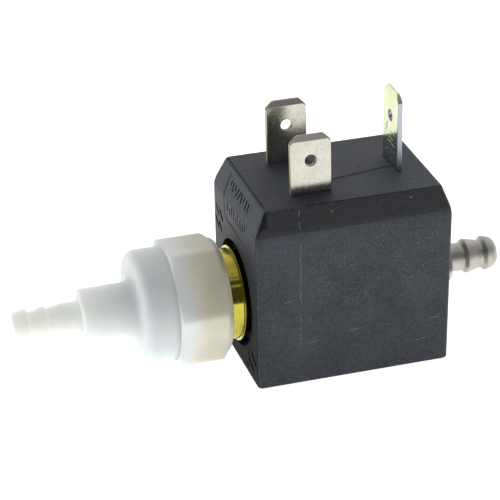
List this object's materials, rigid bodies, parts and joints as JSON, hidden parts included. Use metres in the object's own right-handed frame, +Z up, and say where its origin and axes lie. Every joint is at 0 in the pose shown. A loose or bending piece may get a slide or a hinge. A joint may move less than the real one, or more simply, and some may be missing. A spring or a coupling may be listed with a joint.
{
  "type": "solenoid valve",
  "caption": "Small inline solenoid valve: moulded coil block with three blade terminals, plastic inlet barb and hexagonal coupling at one end, steel outlet barb at the other.",
  "frame": {"origin": "middle of the coil block's underside", "axes": "+X along the flow, from the inlet barb to the outlet barb; +Z up, the way the blade terminals point; Y across the block"},
  "size_m": [0.0762, 0.022, 0.0411],
  "materials": {
    "housing_plastic": "dark slate grey glass-filled moulding, satin",
    "carrier_plastic": "black moulded, matte",
    "coupling_plastic": "natural cream-white, slightly translucent",
    "inlet_plastic": "natural cool white, translucent, soft gloss",
    "strainer_mesh": "fine woven mesh",
    "brass": "polished",
    "copper": "enamelled wire",
    "winding_tape": "polyester tape",
    "stainless": "fine turned",
    "soft_steel": "zinc-phosphated",
    "tinned_blade": "tin-plated, lightly brushed",
    "zinc_blade": "bright passivated zinc, faintly iridescent",
    "rubber": "matte black"
  },
  "bodies": {
    "valve": {"coil_housing": "housing_plastic", "terminal_line": "tinned_blade", "terminal_neutral": "tinned_blade", "terminal_earth": "zinc_blade", "earth_rivet": "stainless", "terminal_carrier": "carrier_plastic", "lead_line": "copper", "lead_neutral": "copper", "yoke_frame": "soft_steel", "yoke_cap": "soft_steel", "bobbin": "carrier_plastic", "winding": "copper", "winding_tape": "winding_tape", "guide_sleeve": "brass", "sleeve_o_ring": "rubber", "fixed_core": "stainless", "core_o_ring": "rubber", "shading_ring": "copper", "return_spring": "stainless", "hex_coupling": "coupling_plastic", "valve_seat": "stainless", "inlet_fitting": "inlet_plastic", "inlet_o_ring": "rubber", "inlet_strainer": "strainer_mesh", "locknut": "stainless", "lock_washer": "stainless"},
    "plunger": {"plunger": "stainless", "plunger_seal": "rubber"}
  },
  "joints": [
    {"name": "plunger_stroke", "type": "slide", "parent": "valve", "child": "plunger", "axis": [1, 0, 0], "range_m": [0, 0.0015], "stiffness_N_per_m": 300, "springref_m": -0.005, "deforming": ["return_spring"]}
  ]
}
